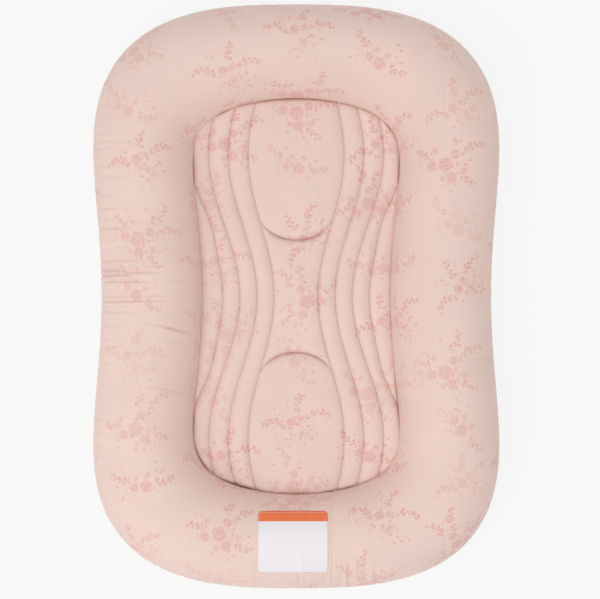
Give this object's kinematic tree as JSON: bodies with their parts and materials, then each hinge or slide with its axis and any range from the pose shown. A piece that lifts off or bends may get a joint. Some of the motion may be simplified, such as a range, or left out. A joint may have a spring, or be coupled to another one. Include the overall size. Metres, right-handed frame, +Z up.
{
  "type": "infant lounger",
  "caption": "Stuffed ring-shaped infant lounger with a quilted pad and a removable cotton cover that zips open underneath.",
  "frame": {"origin": "middle of the footprint, on the floor", "axes": "+Y towards the head end, +X to the right seen from above, +Z up"},
  "size_m": [0.5128, 0.737, 0.1059],
  "materials": {
    "printed_cotton": "blush pink plain-weave cotton with a pink floral print",
    "plain_cotton": "blush pink plain-weave cotton, unprinted",
    "lining_cotton": "undyed cotton lining",
    "polyester_fill": "white polyester fibre fill",
    "label_satin": "white satin patch with a plain orange band",
    "zip_tape": "woven polyester tape",
    "zip_coil": "nylon coil",
    "zip_metal": "nickel-plated zinc, satin"
  },
  "bodies": {
    "lounger": {"bolster_cover": "printed_cotton", "quilt_top_cloth": "printed_cotton", "quilt_batting": "polyester_fill", "quilt_backing_cloth": "plain_cotton", "base_panel_left": "plain_cotton", "base_panel_right": "plain_cotton", "label_patch": "label_satin", "insert_ring_top": "lining_cotton", "insert_ring_fill": "polyester_fill", "insert_centre_top": "lining_cotton", "insert_centre_fill": "polyester_fill", "insert_base": "lining_cotton", "zip_tape_left": "zip_tape", "zip_tape_right": "zip_tape", "zip_coil_left": "zip_coil", "zip_coil_right": "zip_coil", "zip_top_stop_left": "zip_metal", "zip_top_stop_right": "zip_metal", "zip_bottom_stop": "zip_metal"},
    "slider": {"zip_slider": "zip_metal"},
    "pull": {"zip_pull": "zip_metal"}
  },
  "joints": [
    {"name": "zip_travel", "type": "slide", "parent": "lounger", "child": "slider", "axis": [0, -1, 0], "range_m": [0, 0.426]},
    {"name": "pull_flip", "type": "hinge", "parent": "slider", "child": "pull", "pos_m": [0, 0.21315, 0.00525], "axis": [1, 0, 0], "range_deg": [0, 180]}
  ]
}
